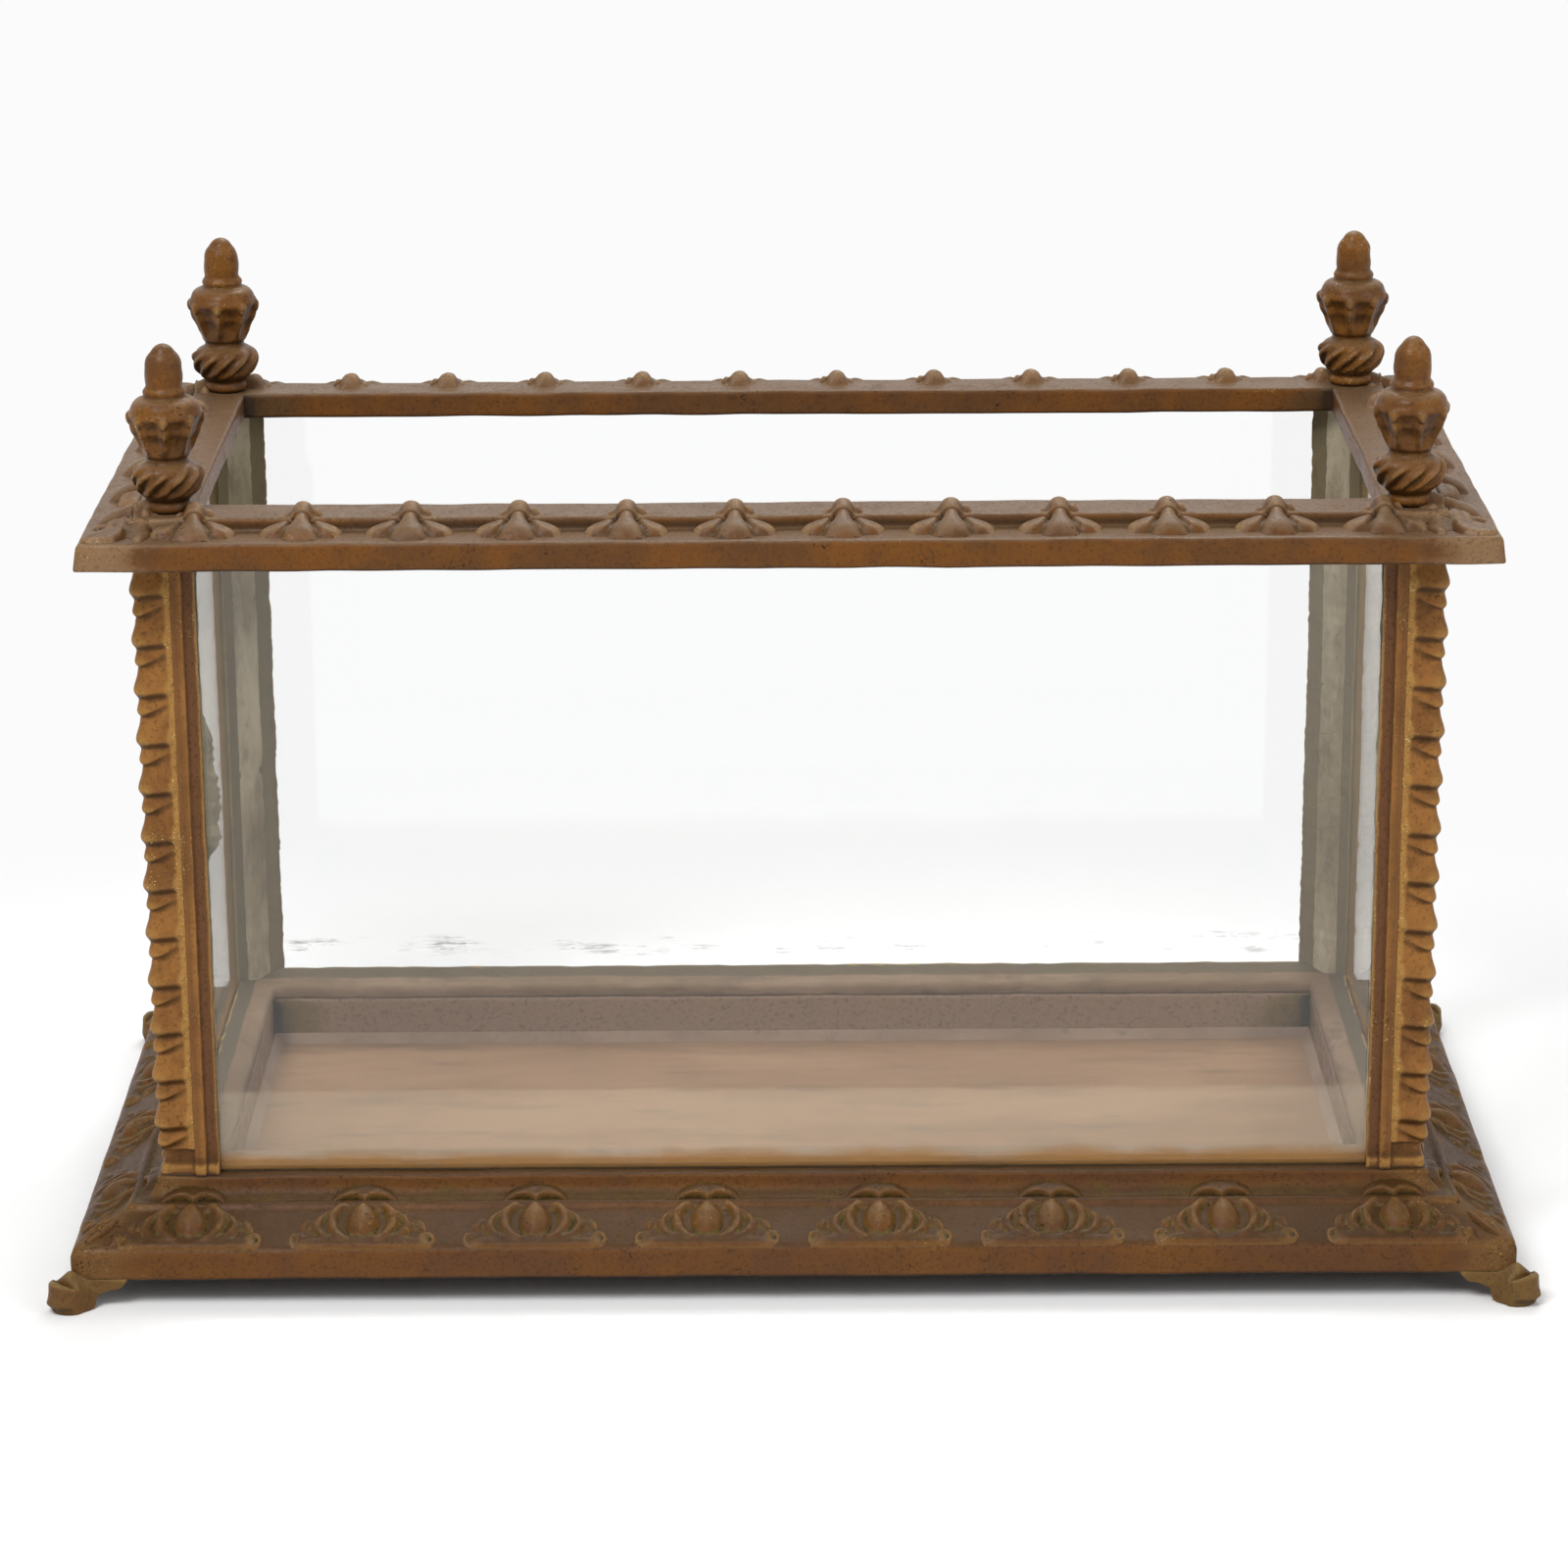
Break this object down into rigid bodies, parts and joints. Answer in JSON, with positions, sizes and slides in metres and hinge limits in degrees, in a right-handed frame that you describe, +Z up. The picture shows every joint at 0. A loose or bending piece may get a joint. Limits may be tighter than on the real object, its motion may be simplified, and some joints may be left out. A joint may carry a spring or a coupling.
{
  "type": "fish tank",
  "caption": "Open-topped fish tank of plate glass in cast iron: moulded base on bracket feet, husked corner posts, leaf-worked rim and screw-down urn finials.",
  "frame": {"origin": "on the ground, under the middle of the tank", "axes": "+X along the long side, to the right of the front; the front faces -Y; +Z up"},
  "size_m": [0.6192, 0.3332, 0.3969],
  "materials": {
    "base_paint": "worn bronze-brown paint on cast iron, olive in the hollows and dark grey on the high places",
    "foot_paint": "worn red-brown bronze paint, pitted",
    "post_paint": "golden ochre bronze paint, dark in the folds",
    "rim_paint": "mauve-brown worn bronze paint, dusty on top",
    "finial_paint": "glossy red-brown bronze paint with golden panels",
    "rod_iron": "dark rusted wrought iron",
    "screw_iron": "dark rusted iron",
    "plate_glass": "old clear plate glass with a little haze and stain",
    "slate": "slate floor under a matt tan deposit",
    "putty": "dry cracked putty",
    "cement": "rough cracked olive-beige cement"
  },
  "bodies": {
    "tank": {"base_plinth": "base_paint", "foot_front_left": "foot_paint", "foot_front_right": "foot_paint", "foot_back_left": "foot_paint", "foot_back_right": "foot_paint", "foot_screws": "screw_iron", "bottom_slab": "slate", "slab_putty": "putty", "corner_post_front_left": "post_paint", "corner_post_front_right": "post_paint", "corner_post_back_left": "post_paint", "corner_post_back_right": "post_paint", "glazing_putty": "putty", "pane_bed_putty": "putty", "front_glass": "plate_glass", "back_glass": "plate_glass", "left_glass": "plate_glass", "right_glass": "plate_glass", "bottom_putty": "putty", "corner_cement_front_left": "cement", "corner_cement_front_right": "cement", "corner_cement_back_left": "cement", "corner_cement_back_right": "cement", "top_rim": "rim_paint", "tie_rod_front_left": "rod_iron", "tie_rod_front_right": "rod_iron", "tie_rod_back_left": "rod_iron", "tie_rod_back_right": "rod_iron", "tie_rod_washers": "rod_iron", "tie_rod_nuts": "rod_iron"},
    "front_left_finial": {"finial_front_left": "finial_paint"},
    "front_right_finial": {"finial_front_right": "finial_paint"},
    "back_left_finial": {"finial_back_left": "finial_paint"},
    "back_right_finial": {"finial_back_right": "finial_paint"}
  },
  "joints": [
    {"name": "front_left_finial_turn", "type": "hinge", "parent": "tank", "child": "front_left_finial", "pos_m": [-0.25, -0.107, 0.3283], "axis": [0, 0, 1], "continuous": true},
    {"name": "front_right_finial_turn", "type": "hinge", "parent": "tank", "child": "front_right_finial", "pos_m": [0.25, -0.107, 0.3283], "axis": [0, 0, 1], "continuous": true},
    {"name": "back_left_finial_turn", "type": "hinge", "parent": "tank", "child": "back_left_finial", "pos_m": [-0.25, 0.107, 0.3283], "axis": [0, 0, 1], "continuous": true},
    {"name": "back_right_finial_turn", "type": "hinge", "parent": "tank", "child": "back_right_finial", "pos_m": [0.25, 0.107, 0.3283], "axis": [0, 0, 1], "continuous": true}
  ]
}
